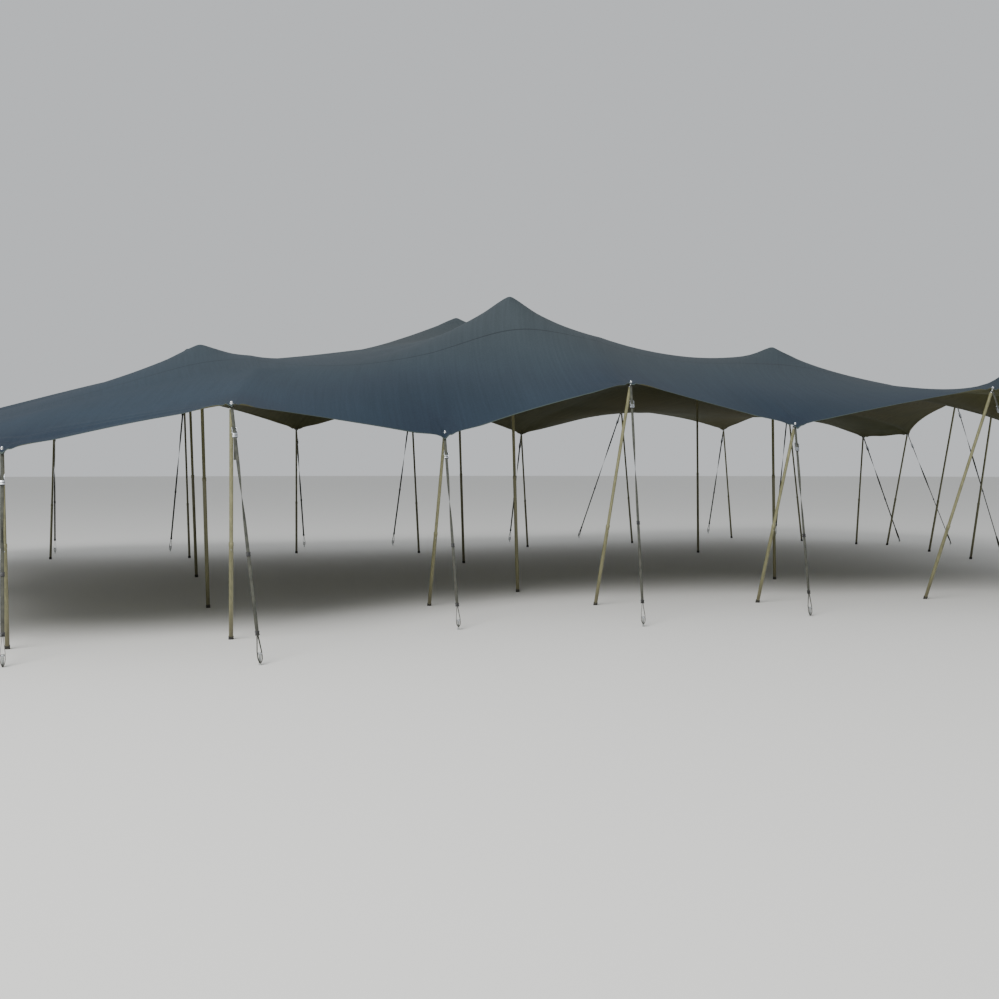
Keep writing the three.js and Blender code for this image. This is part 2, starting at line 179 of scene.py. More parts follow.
def pull_taut(net, held):
    """Lets the held net find the height at which the sheet's tension carries its weight everywhere."""
    def flat(a, b):
        return np.hypot(a[..., 0] - b[..., 0], a[..., 1] - b[..., 1])

    def stiffness(place):
        total = np.ones(place.shape[:2])
        for peak, foot, spread in peaks.values():
            away = np.hypot(place[..., 0] - peak[0], place[..., 1] - peak[1])
            total += spread / (away + stiff_core) * (1 + disc_extra * np.exp(-(away / disc_reach) ** 2))
        return total

    middle = net[1:-1, 1:-1]
    deep = flat(net[:, 2:], net[:, :-2])[1:-1] / 2
    wide = flat(net[2:], net[:-2])[:, 1:-1] / 2
    after, before = net[2:, 1:-1], net[:-2, 1:-1]
    above, below = net[1:-1, 2:], net[1:-1, :-2]
    pull = [stiffness((middle + other) / 2) * side / flat(middle, other)
            for other, side in ((after, deep), (before, deep), (above, wide), (below, wide))]
    weight = sheet_weight * deep * wide
    total = sum(pull)
    rows, columns = np.indices(middle.shape[:2])
    turns = [((rows + columns) % 2 == k) & ~held[1:-1, 1:-1] for k in (0, 1)]
    height = net[..., 2].copy()
    inner = height[1:-1, 1:-1]
    for _ in range(rounds):
        for turn in turns:
            level = (pull[0] * height[2:, 1:-1] + pull[1] * height[:-2, 1:-1]
                     + pull[2] * height[1:-1, 2:] + pull[3] * height[1:-1, :-2] - weight) / total
            inner[turn] += overshoot * (level - inner)[turn]
    net[..., 2] = height
    return net


def add_hem_lines(net, widths):
    """Adds lines of points that follow the first and last row at these distances from the edge."""
    def near_edge(first, second):
        step = second - first
        length = np.linalg.norm(step[..., :3], axis=-1)[..., None]
        return [first + step * np.minimum(w / length, 0.6) for w in widths]

    start = near_edge(net[0], net[1])
    end = near_edge(net[-1], net[-2])[::-1]
    return np.concatenate([net[:1], np.array(start), net[1:-1], np.array(end), net[-1:]])


hem_widths = (0.010, 0.042, 0.045)
flat_length, flat_width = 19.6, 13.2
net, held = stretch_between_hems()
net = pull_taut(net, held)
u, v = np.meshgrid(np.linspace(0, flat_length, net.shape[0]), np.linspace(0, flat_width, net.shape[1]),
                   indexing="ij")
net = np.concatenate([net, u[..., None], v[..., None]], axis=2)
net = add_hem_lines(net, hem_widths)
net = add_hem_lines(net.swapaxes(0, 1), hem_widths).swapaxes(0, 1)
across, along = net.shape[:2]
hem_distance = np.full((across, along), 0.09)      # the same for all that lies further in than the hem
for k, width in reversed(list(enumerate((0.0,) + hem_widths))):
    hem_distance[k] = hem_distance[-1 - k] = np.minimum(hem_distance[k], width)
    hem_distance[:, k] = hem_distance[:, -1 - k] = np.minimum(hem_distance[:, k], width)

corners = np.arange(across * along).reshape(across, along)
quads = np.stack([corners[:-1, :-1], corners[1:, :-1], corners[1:, 1:], corners[:-1, 1:]], axis=-1)
cloth = bpy.data.meshes.new("canopy_sheet")
cloth.from_pydata(net[..., :3].reshape(-1, 3).tolist(), [], quads.reshape(-1, 4).tolist())
flat_map = cloth.uv_layers.new(name="cut")
loop_corner = np.empty(len(cloth.loops), int)
cloth.loops.foreach_get("vertex_index", loop_corner)
flat_map.data.foreach_set("uv", net[..., 3:].reshape(-1, 2)[loop_corner].ravel())
cloth.attributes.new("hem", "FLOAT", "POINT").data.foreach_set("value", hem_distance.ravel())

# The cells along the hem at the front left, where the sheet lies in folds, are cut finer, and so are those
# round each tip and each peak, in two steps, so the small forms there have points to follow.
slack_length, slack_depth = 5.0, 0.62
corner_spots = net[..., :2].reshape(-1, 2)
middles = []
for place in [row[0] for row in (*supports.values(), *peaks.values())]:
    nearest = np.hypot(*(corner_spots - np.array(place)[:2]).T).argmin()
    middles.append(net[..., 3:].reshape(-1, 2)[nearest])
sheet_mesh = bmesh.new()
sheet_mesh.from_mesh(cloth)
flat_layer = sheet_mesh.loops.layers.uv["cut"]
for reach, cuts, longest in ((0.0, 2, 0.10), (0.36, 1, 0.05), (0.17, 3, 0.03)):
    edges = set()
    for face in sheet_mesh.faces:
        middle = sum((loop[flat_layer].uv for loop in face.loops), Vector((0, 0))) / len(face.loops)
        folded = reach == 0 and middle.x < slack_length and middle.y < slack_depth
        if folded or any(abs(middle.x - u) < reach and abs(middle.y - v) < reach for u, v in middles):
            edges.update(edge for edge in face.edges if edge.calc_length() > longest)
    bmesh.ops.subdivide_edges(sheet_mesh, edges=list(edges), cuts=cuts, use_grid_fill=True)
bmesh.ops.triangulate(sheet_mesh, faces=[face for face in sheet_mesh.faces if len(face.verts) > 4])
bmesh.ops.recalc_face_normals(sheet_mesh, faces=sheet_mesh.faces)
if sum(face.normal.z for face in sheet_mesh.faces) < 0:
    bmesh.ops.reverse_faces(sheet_mesh, faces=sheet_mesh.faces)
sheet_mesh.to_mesh(cloth)
sheet_mesh.free()

spots = np.empty(len(cloth.vertices) * 3)
cloth.vertices.foreach_get("co", spots)
spots = spots.reshape(-1, 3)
flat_spots = spots[:, :2].copy()

# Over each inner pole's round head the sheet turns smoothly and lies on it, instead of coming to a point.
head_radius = (0.0, 0.012, 0.022, 0.032, 0.041, 0.049, 0.056, 0.061, 0.090, 0.120)
head_drop = (0.0, 0.0010, 0.0050, 0.0135, 0.0240, 0.0375, 0.0545, 0.0700, 0.30, 3.0)
head_reach, head_flat = 0.40, 0.10      # where the rounding ends, and where it starts to fade
point_round, contact_round, dimple = 0.022, 0.010, 0.005
far = 9.0       # metres, past which no distance from a peak or tip matters
peak_distance = np.full(len(spots), far)
for peak, foot, spread in peaks.values():
    away = np.hypot(*(flat_spots - np.array(peak)[:2]).T)
    peak_distance = np.minimum(peak_distance, away)
    near = away < head_reach
    drop = np.maximum(peak[2] - spots[near, 2], 0)
    fade = np.clip((away[near] - head_flat) / 0.30, 0, 1)
    round_off = point_round * (1 - fade * fade * (3 - 2 * fade)) + 1e-6
    hung = peak[2] - (np.sqrt(drop ** 2 + round_off ** 2) - round_off)
    resting = peak[2] - np.interp(away[near], head_radius, head_drop)
    spots[near, 2] = (hung + resting + np.sqrt((hung - resting) ** 2 + contact_round ** 2)) / 2
    spots[near, 2] -= dimple * np.exp(-(away[near] / 0.03) ** 2)

# Beyond each pin the stay draws a tongue of the sheet down, the cloth stands up in a small ear on either
# side of it, and shallow folds run inwards from there.
pin_inset = 0.045       # from the sheet's tip to the pin
tongue_drop, ear_height, hem_lift, fold_height = 0.019, 0.013, 0.016, 0.006
tip_reach, fold_reach = 0.3, 1.2
pins = {}
tip_distance = np.full(len(spots), far)
hem_near = np.empty(len(spots))
cloth.attributes["hem"].data.foreach_get("value", hem_near)
for name, (tip, foot, stake) in supports.items():
    outward = np.array(tip)[:2] - np.array(foot)
    outward /= np.hypot(*outward)
    sideways = np.array((-outward[1], outward[0]))
    pin = np.array(tip)[:2] - outward * pin_inset
    reach = (flat_spots - pin) @ outward
    side = (flat_spots - pin) @ sideways
    away = np.hypot(reach, side)
    tip_distance = np.minimum(tip_distance, away)
    tongue = (np.clip(reach, 0, 0.06) / 0.045) ** 2 * np.exp(-(side / 0.030) ** 2)
    spots[:, 2] -= tongue_drop * tongue * (away < tip_reach)
    ears = np.exp(-((np.abs(side) - 0.047) / 0.020) ** 2) * np.exp(-((reach - 0.015) / 0.045) ** 2)
    spots[:, 2] += ear_height * ears * (away < tip_reach)
    beside_pin = np.clip((away - 0.07) / 0.06, 0, 1)
    turned_up = np.exp(-hem_near / 0.03) * beside_pin * np.clip((0.40 - away) / 0.2, 0, 1)
    spots[:, 2] += hem_lift * turned_up
    angle = np.arctan2(side, -reach)
    folds = np.cos(angle * 7) * np.exp(-((away - 0.42) / 0.26) ** 2)
    spots[:, 2] += fold_height * folds * (away < fold_reach)
    pin_height = spots[away.argmin(), 2] + 0.003
    pins[name] = Vector((*pin, pin_height))
    flat = pin_height - (flat_spots - pin) @ (pin - np.array(foot)) / pin_height
    clamped = np.exp(-(away / 0.027) ** 4) * (away < tip_reach)
    spots[:, 2] += (flat - spots[:, 2]) * clamped

# At the front left the hem is slack, and two soft folds run along it a quarter of a metre in.
fold_inset, fold_spacing, slack_fold = 0.26, 0.20, 0.014
slack_hem = hem_line(front_side[:3], 30)[:, :2]
near = (flat_spots[:, 0] < -5.2) & (flat_spots[:, 1] < -3.6)
inside = np.hypot(*(flat_spots[near, None] - slack_hem[None]).transpose(2, 0, 1)).min(axis=1)
fold = np.cos((inside - fold_inset) * 2 * math.pi / fold_spacing)
fold *= np.exp(-((inside - fold_inset) / 0.15) ** 2)
spots[near, 2] += slack_fold * fold * np.exp(-((flat_spots[near, 0] + 7.0) / 0.75) ** 2)

cloth.vertices.foreach_set("co", spots.ravel())
cloth.attributes.new("tip", "FLOAT", "POINT").data.foreach_set("value", tip_distance)
cloth.attributes.new("peak", "FLOAT", "POINT").data.foreach_set("value", peak_distance)
cloth.update()


def connect(tree, made, inputs):
    """Links or sets the inputs of a node. Where another node is given, its first output is meant."""
    for socket, value in inputs.items():
        if isinstance(value, bpy.types.Node):
            value = value.outputs[0]
        if isinstance(value, bpy.types.NodeSocket):
            tree.links.new(value, made.inputs[socket])
        else:
            made.inputs[socket].default_value = value


def node(tree, kind, inputs=None, **settings):
    """Adds one node with its settings, and links or sets its inputs."""
    made = tree.nodes.new(kind)
    for name, value in settings.items():
        setattr(made, name, value)
    connect(tree, made, inputs or {})
    return made


def colour(code):
    """An sRGB hex value as the linear colour that a socket takes."""
    parts = [int(code[k:k + 2], 16) / 255 for k in (1, 3, 5)]
    return tuple(c / 12.92 if c <= 0.04045 else ((c + 0.055) / 1.055) ** 2.4 for c in parts) + (1.0,)


def new_material(name):
    """Starts a material. Gives back the material, its tree, its shader and the place on the piece."""
    made = bpy.data.materials.new(name)
    made.use_nodes = True
    tree = made.node_tree
    return made, tree, tree.nodes["Principled BSDF"], node(tree, "ShaderNodeTexCoord")


def seams(tree, place):
    """How far each spot lies past the last seam, and 1 where there are seams. The first one runs across the
    front and the others follow behind it, a panel's width of 1.6 m apart."""
    past = node(tree, "ShaderNodeMath", {0: place.outputs[1], 1: 2.75}, operation="ADD")
    past = node(tree, "ShaderNodeMath", {0: past, 1: 1.6}, operation="MODULO")
    past = node(tree, "ShaderNodeMath", {0: past}, operation="ABSOLUTE")
    behind = node(tree, "ShaderNodeMath", {0: place.outputs[1], 1: -2.9}, operation="GREATER_THAN")
    return past, behind


# Slate coated stretch knit: matt, with a soft broad shine. The yarn's ribs run front to back and are 1 mm
# apart, too fine to show, so the grain is drawn 40 mm apart. The higher cloth is painted lighter and greyer,
# a painted sunlight on the peaks, and the lower cloth darker and bluer, a painted sky reflection.
slate_knit, tree, shader, where = new_material("slate_coated_stretch_knit")
place = node(tree, "ShaderNodeSeparateXYZ", {0: where.outputs["Object"]})
# Painted light: from 1.9 m to 3.6 m up, the colour goes from a darker blue slate to a lighter grey.
painted_light_by_height = node(tree, "ShaderNodeMapRange", {0: place.outputs[2], 1: 1.9, 2: 3.6},
              interpolation_type="SMOOTHSTEP")
base = node(tree, "ShaderNodeMix", {0: painted_light_by_height, 6: colour("#273440"), 7: colour("#3b4347")}, data_type="RGBA")
cloud = node(tree, "ShaderNodeTexNoise", {"Vector": where.outputs["Object"], "Scale": 0.7, "Detail": 3.0})
cloudy = node(tree, "ShaderNodeMapRange", {0: cloud, 1: 0.3, 2: 0.7, 3: 0.90, 4: 1.10})
grain_place = node(tree, "ShaderNodeMapping", {0: where.outputs["UV"], 3: (25.0, 1.2, 1.0)})
grain = node(tree, "ShaderNodeTexNoise", {"Vector": grain_place, "Scale": 1.0, "Detail": 2.0})
grainy = node(tree, "ShaderNodeMapRange", {0: grain, 1: 0.25, 2: 0.75, 3: 0.92, 4: 1.08})
speck = node(tree, "ShaderNodeTexNoise", {"Vector": where.outputs["Object"], "Scale": 60.0, "Detail": 2.0})
speckled = node(tree, "ShaderNodeMapRange", {0: speck, 1: 0.3, 2: 0.7, 3: 0.93, 4: 1.07})
tone = node(tree, "ShaderNodeMath", {0: cloudy, 1: grainy}, operation="MULTIPLY")
tone = node(tree, "ShaderNodeMath", {0: tone, 1: speckled}, operation="MULTIPLY")
# The first seam shows as a dark line 14 mm wide, where one panel laps the next, the others half as wide.
past_seam, behind = seams(tree, place)
seam = node(tree, "ShaderNodeMapRange", {0: past_seam, 1: 0.007, 2: 0.011, 3: 1.0, 4: 0.0})
seam = node(tree, "ShaderNodeMath", {0: seam, 1: behind}, operation="MULTIPLY")
seam_dark = node(tree, "ShaderNodeMapRange", {0: seam, 3: 1.0, 4: 0.62})
tone = node(tree, "ShaderNodeMath", {0: tone, 1: seam_dark}, operation="MULTIPLY")
# The cloth drawn tight at a tip is darker, and so is the round patch sewn over it.
from_tip = node(tree, "ShaderNodeAttribute", attribute_name="tip")
drawn = node(tree, "ShaderNodeMapRange", {0: from_tip.outputs["Fac"], 1: 0.15, 2: 1.1, 3: 0.55, 4: 0.0})
base = node(tree, "ShaderNodeMix", {0: drawn, 6: base.outputs[2], 7: colour("#222b37")}, data_type="RGBA")
patch = node(tree, "ShaderNodeMapRange", {0: from_tip.outputs["Fac"], 1: 0.158, 2: 0.164, 3: 1.0, 4: 0.0})
patch_dark = node(tree, "ShaderNodeMapRange", {0: patch, 3: 1.0, 4: 0.95})
tone = node(tree, "ShaderNodeMath", {0: tone, 1: patch_dark}, operation="MULTIPLY")
toned = node(tree, "ShaderNodeVectorMath", {0: base.outputs[2], "Scale": tone}, operation="SCALE")
from_hem = node(tree, "ShaderNodeAttribute", attribute_name="hem")
fold_edge = node(tree, "ShaderNodeMapRange", {0: from_hem.outputs["Fac"], 1: 0.008, 2: 0.014, 3: 1.0, 4: 0.0})
edged = node(tree, "ShaderNodeMix", {0: fold_edge, 6: toned, 7: colour("#434d49")}, data_type="RGBA")
# The hem's line of stitches, 34 mm in, and the relief of all that is sewn or woven.
stitch = node(tree, "ShaderNodeMath", {0: from_hem.outputs["Fac"], 1: 0.034}, operation="SUBTRACT")
stitch = node(tree, "ShaderNodeMath", {0: stitch}, operation="ABSOLUTE")
stitch = node(tree, "ShaderNodeMapRange", {0: stitch, 1: 0.001, 2: 0.003, 3: 0.0, 4: 1.0})
ribs = node(tree, "ShaderNodeTexWave", {"Vector": where.outputs["UV"], "Scale": 9.0, "Distortion": 1.5},
            bands_direction="X")
ridge = node(tree, "ShaderNodeMath", {0: ribs.outputs["Fac"], 1: 0.12}, operation="MULTIPLY")
for raised in (grain, stitch, seam, patch):
    ridge = node(tree, "ShaderNodeMath", {0: ridge, 1: raised}, operation="ADD")
relief = node(tree, "ShaderNodeBump", {"Height": ridge, "Strength": 0.35, "Distance": 0.003})
gloss = node(tree, "ShaderNodeMapRange", {0: cloud, 1: 0.3, 2: 0.7, 3: 0.66, 4: 0.78})
connect(tree, shader, {"Base Color": edged.outputs[2], "Roughness": gloss, "IOR": 1.5,
                       "Specular IOR Level": 0.18, "Normal": relief})

# Olive brown coating on the underside: darker, duller, with the folded hem's lighter band, the tape of each
# seam and the doubled disc round each peak showing.
olive_coating, tree, shader, where = new_material("olive_brown_coating")
place = node(tree, "ShaderNodeSeparateXYZ", {0: where.outputs["Object"]})
cloud = node(tree, "ShaderNodeTexNoise", {"Vector": where.outputs["Object"], "Scale": 0.5, "Detail": 3.0})
cloudy = node(tree, "ShaderNodeMapRange", {0: cloud, 1: 0.35, 2: 0.65})
base = node(tree, "ShaderNodeMix", {0: cloudy, 6: colour("#4d4f35"), 7: colour("#5a5637")}, data_type="RGBA")
grain_place = node(tree, "ShaderNodeMapping", {0: where.outputs["UV"], 3: (25.0, 1.2, 1.0)})
grain = node(tree, "ShaderNodeTexNoise", {"Vector": grain_place, "Scale": 1.0, "Detail": 2.0})
grainy = node(tree, "ShaderNodeMapRange", {0: grain, 1: 0.25, 2: 0.75, 3: 0.85, 4: 1.15})
toned = node(tree, "ShaderNodeVectorMath", {0: base.outputs[2], "Scale": grainy}, operation="SCALE")
past_seam, behind = seams(tree, place)
tape = node(tree, "ShaderNodeMapRange", {0: past_seam, 1: 0.018, 2: 0.020, 3: 0.35, 4: 0.0})
tape = node(tree, "ShaderNodeMath", {0: tape, 1: behind}, operation="MULTIPLY")
from_peak = node(tree, "ShaderNodeAttribute", attribute_name="peak")
disc = node(tree, "ShaderNodeMapRange", {0: from_peak.outputs["Fac"], 1: 0.296, 2: 0.302, 3: 0.4, 4: 0.0})
tape = node(tree, "ShaderNodeMath", {0: tape, 1: disc}, operation="MAXIMUM")
taped = node(tree, "ShaderNodeMix", {0: tape, 6: toned, 7: colour("#66623f")}, data_type="RGBA")
from_hem = node(tree, "ShaderNodeAttribute", attribute_name="hem")
band = node(tree, "ShaderNodeMapRange", {0: from_hem.outputs["Fac"], 1: 0.042, 2: 0.045, 3: 1.0, 4: 0.0})
banded = node(tree, "ShaderNodeMix", {0: band, 6: taped.outputs[2], 7: colour("#636046")}, data_type="RGBA")
lift = node(tree, "ShaderNodeMath", {0: grain, 1: tape}, operation="ADD")
relief = node(tree, "ShaderNodeBump", {"Height": lift, "Strength": 0.3, "Distance": 0.003})
gloss = node(tree, "ShaderNodeMapRange", {0: cloud, 1: 0.3, 2: 0.7, 3: 0.68, 4: 0.80})
connect(tree, shader, {"Base Color": banded.outputs[2], "Roughness": gloss, "IOR": 1.5,
                       "Specular IOR Level": 0.2, "Normal": relief})


def pick(piece):
    """Makes this the one piece that is selected and active."""
    bpy.ops.object.select_all(action="DESELECT")
    piece.select_set(True)
    bpy.context.view_layer.objects.active = piece


# The sheet gets its thickness downwards, full where the hem is folded over and half of that elsewhere.
canopy = in_scene("canopy_sheet", cloth)
cloth.materials.append(slate_knit)
cloth.materials.append(olive_coating)
folded = canopy.vertex_groups.new(name="folded")
hem_fold = sum(hem_widths[1:]) / 2      # the fold's edge, between the two inner lines of the hem
folded.add([int(k) for k in np.flatnonzero(hem_near < hem_fold)], 1.0, "REPLACE")
thickness = canopy.modifiers.new("thickness", "SOLIDIFY")
thickness.thickness = 0.0034
thickness.offset = -1
thickness.vertex_group = "folded"
thickness.thickness_vertex_group = 0.5
thickness.material_offset = 1
thickness.material_offset_rim = 0
pick(canopy)
bpy.ops.object.modifier_apply(modifier="thickness")
bpy.ops.object.shade_smooth()
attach(canopy, "root")
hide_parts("canopy")


# Edge poles. Painted steel tubes in two lengths, the thinner sliding in the thicker and held by a spring
# button. Each has a ribbed rubber foot, and on top a plug of stainless steel whose pin goes through the
# sheet's tip and ends in a round cap nut.
def select_faces(piece, wanted):
    """In edit mode, deselects all and selects the faces that the test takes, by place and normal."""
    bpy.ops.mesh.select_mode(type="FACE")
    bpy.ops.mesh.select_all(action="DESELECT")
    for face in bmesh.from_edit_mesh(piece.data).faces:
        face.select_set(wanted(face.calc_center_median(), face.normal))
    bmesh.update_edit_mesh(piece.data)


def finished(piece, material, soften):
    """Softens a part's sharp edges, shades it and gives it its material."""
    if soften:
        edge = piece.modifiers.new("softened", "BEVEL")
        edge.width = soften
        edge.segments = 2
        edge.limit_method = "ANGLE"
        edge.angle_limit = math.radians(35)
        bpy.ops.object.modifier_apply(modifier="softened")
    bpy.ops.object.shade_smooth_by_angle(angle=math.radians(40))
    piece.data.materials.append(material)
    return piece


def turned(name, material, base, radius, height, steps, sides=24, soften=0.0012):
    """A round piece as from a lathe: a bar from base to height whose top face is carried through steps of
    (radius, height), with its edges softened."""
    bpy.ops.mesh.primitive_cylinder_add(vertices=sides, radius=radius, depth=height - base,
                                        location=(0, 0, (height + base) / 2))
    piece = bpy.context.object
    piece.name = name
    bpy.ops.object.transform_apply()
    bpy.ops.object.mode_set(mode="EDIT")
    for wider, higher in steps:
        select_faces(piece, lambda middle, normal: normal.z > 0.9 and middle.z > height - 1e-5)
        bpy.ops.mesh.extrude_region_move(TRANSFORM_OT_translate={"value": (0, 0, higher - height)})
        bpy.ops.transform.resize(value=(wider / radius, wider / radius, 1), center_override=(0, 0, higher))
        radius, height = wider, higher
    bpy.ops.object.mode_set(mode="OBJECT")
    return finished(piece, material, soften)


def joined(name, pieces):
    """Makes one piece of several and gives back its mesh, with nothing left in the scene."""
    pick(pieces[0])
    for piece in pieces:
        piece.select_set(True)
    bpy.ops.object.join()
    shape = pieces[0].data
    shape.name = name
    bpy.data.objects.remove(pieces[0])
    return shape


# Olive khaki enamel on steel: satin, with faint runs along the tube and fine scuffs, and darker towards the
# ground.
khaki_enamel, tree, shader, where = new_material("olive_khaki_enamel")
place = node(tree, "ShaderNodeSeparateXYZ", {0: where.outputs["Object"]})
run_place = node(tree, "ShaderNodeMapping", {0: where.outputs["Object"], 3: (60.0, 60.0, 2.0)})
run = node(tree, "ShaderNodeTexNoise", {"Vector": run_place, "Scale": 1.0, "Detail": 3.0})
runs = node(tree, "ShaderNodeMapRange", {0: run, 1: 0.3, 2: 0.7})
base = node(tree, "ShaderNodeMix", {0: runs, 6: colour("#676648"), 7: colour("#827f5d")}, data_type="RGBA")
scuff = node(tree, "ShaderNodeTexNoise", {"Vector": where.outputs["Object"], "Scale": 130.0, "Detail": 4.0})
scuffed = node(tree, "ShaderNodeMapRange", {0: scuff, 1: 0.66, 2: 0.72, 3: 0.0, 4: 0.5})
worn = node(tree, "ShaderNodeMix", {0: scuffed, 6: base.outputs[2], 7: colour("#9a9a92")}, data_type="RGBA")
# Darker and browner over the lowest 0.35 m of the pole, most at the foot.
low = node(tree, "ShaderNodeMapRange", {0: place.outputs[2], 1: 0.06, 2: 0.35, 3: 0.55, 4: 0.0})
darker_low = node(tree, "ShaderNodeMix", {0: low, 6: worn.outputs[2], 7: colour("#4a4230")}, data_type="RGBA")
gloss = node(tree, "ShaderNodeMapRange", {0: run, 1: 0.3, 2: 0.7, 3: 0.34, 4: 0.50})
relief = node(tree, "ShaderNodeBump", {"Height": scuff, "Strength": 0.08, "Distance": 0.0005})
connect(tree, shader, {"Base Color": darker_low.outputs[2], "Roughness": gloss, "IOR": 1.5, "Coat Weight": 0.15,
                       "Coat Roughness": 0.3, "Normal": relief})

# Black rubber of the feet and heads: dull, a little grey where it is dusty.
black_rubber, tree, shader, where = new_material("black_rubber")
dust = node(tree, "ShaderNodeTexNoise", {"Vector": where.outputs["Object"], "Scale": 55.0, "Detail": 4.0})
dusty = node(tree, "ShaderNodeMapRange", {0: dust, 1: 0.45, 2: 0.75})
base = node(tree, "ShaderNodeMix", {0: dusty, 6: colour("#23221f"), 7: colour("#4a4639")}, data_type="RGBA")
relief = node(tree, "ShaderNodeBump", {"Height": dust, "Strength": 0.15, "Distance": 0.0006})
connect(tree, shader, {"Base Color": base.outputs[2], "Roughness": 0.78, "IOR": 1.52, "Normal": relief})

# Polished stainless steel of the plugs, cap nuts, spring buttons and eyelets: the bright spots at the tips.
bright_steel, tree, shader, where = new_material("polished_stainless_steel")
rub = node(tree, "ShaderNodeTexNoise", {"Vector": where.outputs["Object"], "Scale": 90.0, "Detail": 3.0})
rubbed = node(tree, "ShaderNodeMapRange", {0: rub, 1: 0.3, 2: 0.7, 3: 0.10, 4: 0.24})
shade = node(tree, "ShaderNodeMapRange", {0: rub, 1: 0.3, 2: 0.7})
base = node(tree, "ShaderNodeMix", {0: shade, 6: colour("#e8e9ea"), 7: colour("#cfd2d4")}, data_type="RGBA")
connect(tree, shader, {"Base Color": base.outputs[2], "Metallic": 1.0, "Roughness": rubbed})

# The model is 1.5 m long. All that is above the joint on it goes up with the thinner tube.
edge_joint, edge_length = 1.10, 1.50
tube = turned("tube", khaki_enamel, 0.014, 0.0200, 0.930, [(0.0222, 0.931), (0.0222, 0.962), (0.0196, 0.968),
              (0.0172, 0.969), (0.0172, edge_length)])
foot_cap = turned("foot_cap", black_rubber, 0.0, 0.0240, 0.008, [(0.0240, 0.011), (0.0228, 0.012),
                  (0.0228, 0.014), (0.0240, 0.015), (0.0240, 0.020), (0.0228, 0.021), (0.0228, 0.023),
                  (0.0240, 0.024), (0.0240, 0.031), (0.0222, 0.036), (0.0202, 0.036)], soften=0.0006)
foot_model = joined("foot_model", [foot_cap])
plug = turned("plug", bright_steel, 1.495, 0.0184, 1.506, [(0.0140, 1.509), (0.0078, 1.510), (0.0078, 1.540),
              (0.0170, 1.540), (0.0170, 1.5425), (0.0125, 1.543), (0.0125, 1.550), (0.0112, 1.557),
              (0.0080, 1.562), (0.0036, 1.5645)], sides=20, soften=0.0006)
button = turned("button", bright_steel, 0.0, 0.0045, 0.004, [(0.0036, 0.0062), (0.0018, 0.0070)], sides=12,
                soften=0)
pick(button)
button.rotation_euler = (math.radians(90), 0, 0)
button.location = (0, -0.0180, 0.905)
bpy.ops.object.transform_apply()
edge_pole_model = joined("edge_pole_model", [tube, plug, button])
shoulder_to_nut = 0.040


def stand(name, model, joint, grow, axis, ground):
    """Stands a pole on the ground along its axis: what is above the joint goes up by grow, and the foot under
    it is trodden flat."""
    shape = model.copy()
    turn = axis.to_track_quat("Z", "Y").to_matrix()
    for vert in shape.vertices:
        if vert.co.z > joint:
            vert.co.z += grow
        vert.co = turn @ vert.co + ground
    cap = foot_model.copy()
    for vert in cap.vertices:
        sole = vert.co.z < 0.002
        vert.co = turn @ vert.co + ground
        if sole or vert.co.z < 0:
            vert.co -= axis * (vert.co.z / axis.z)
    pieces = [in_scene(name, part) for part in (shape, cap)]
    pole = in_scene(f"support_{name}", joined(f"support_{name}", pieces))
    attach(pole, "root")
    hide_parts(f"pole_{name}")


pole_axis = {}
nut_height = {}
for name, (tip, ground_spot, stake) in supports.items():
    ground = Vector((*ground_spot, 0))
    axis = (pins[name] - ground).normalized()
    height = (pins[name] - ground).length
    stand(name, edge_pole_model, edge_joint, height - shoulder_to_nut - edge_length, axis, ground)
    pole_axis[name] = axis
    nut_height[name] = height


# Inner poles. Thicker steel tubes in two lengths under the seven peaks, painted as the edge poles are. A
# black rubber head, round on top so that it can't wear through the cloth, is pressed onto each.
inner_joint, inner_length = 1.60, 2.00
head_sink = 0.0020      # how far the head stays below the sheet's peak
tube = turned("tube", khaki_enamel, 0.014, 0.0212, 1.420, [(0.0235, 1.421), (0.0235, 1.454), (0.0208, 1.460),
              (0.0184, 1.461), (0.0184, 1.915)])
head = turned("head", black_rubber, 1.870, 0.0225, 1.880, [(0.0225, 1.895), (0.0300, 1.908), (0.0460, 1.920),
              (0.0545, 1.928), (0.0545, 1.932), (0.0500, 1.945), (0.0430, 1.962), (0.0350, 1.9755),
              (0.0260, 1.986), (0.0165, 1.9945), (0.0080, 1.9985), (0.0030, 2.000)], sides=32, soften=0)
inner_pole_model = joined("inner_pole_model", [tube, head])
for name, (peak, ground_spot, spread) in peaks.items():
    ground = Vector((*ground_spot, 0))
    axis = (Vector(peak) - ground).normalized()
    stand(name, inner_pole_model, inner_joint, (peak[2] - head_sink) / axis.z - inner_length, axis, ground)


# Stays. Grey woven straps 28 mm wide that pull each tip out and down to a stake. An eye in the upper end
# goes over the pole's pin, a small ratchet near the top tightens the strap, and black keepers hold its plies
# together. Low down the strap parts into a loop that goes round the stake's neck. It has a half twist.

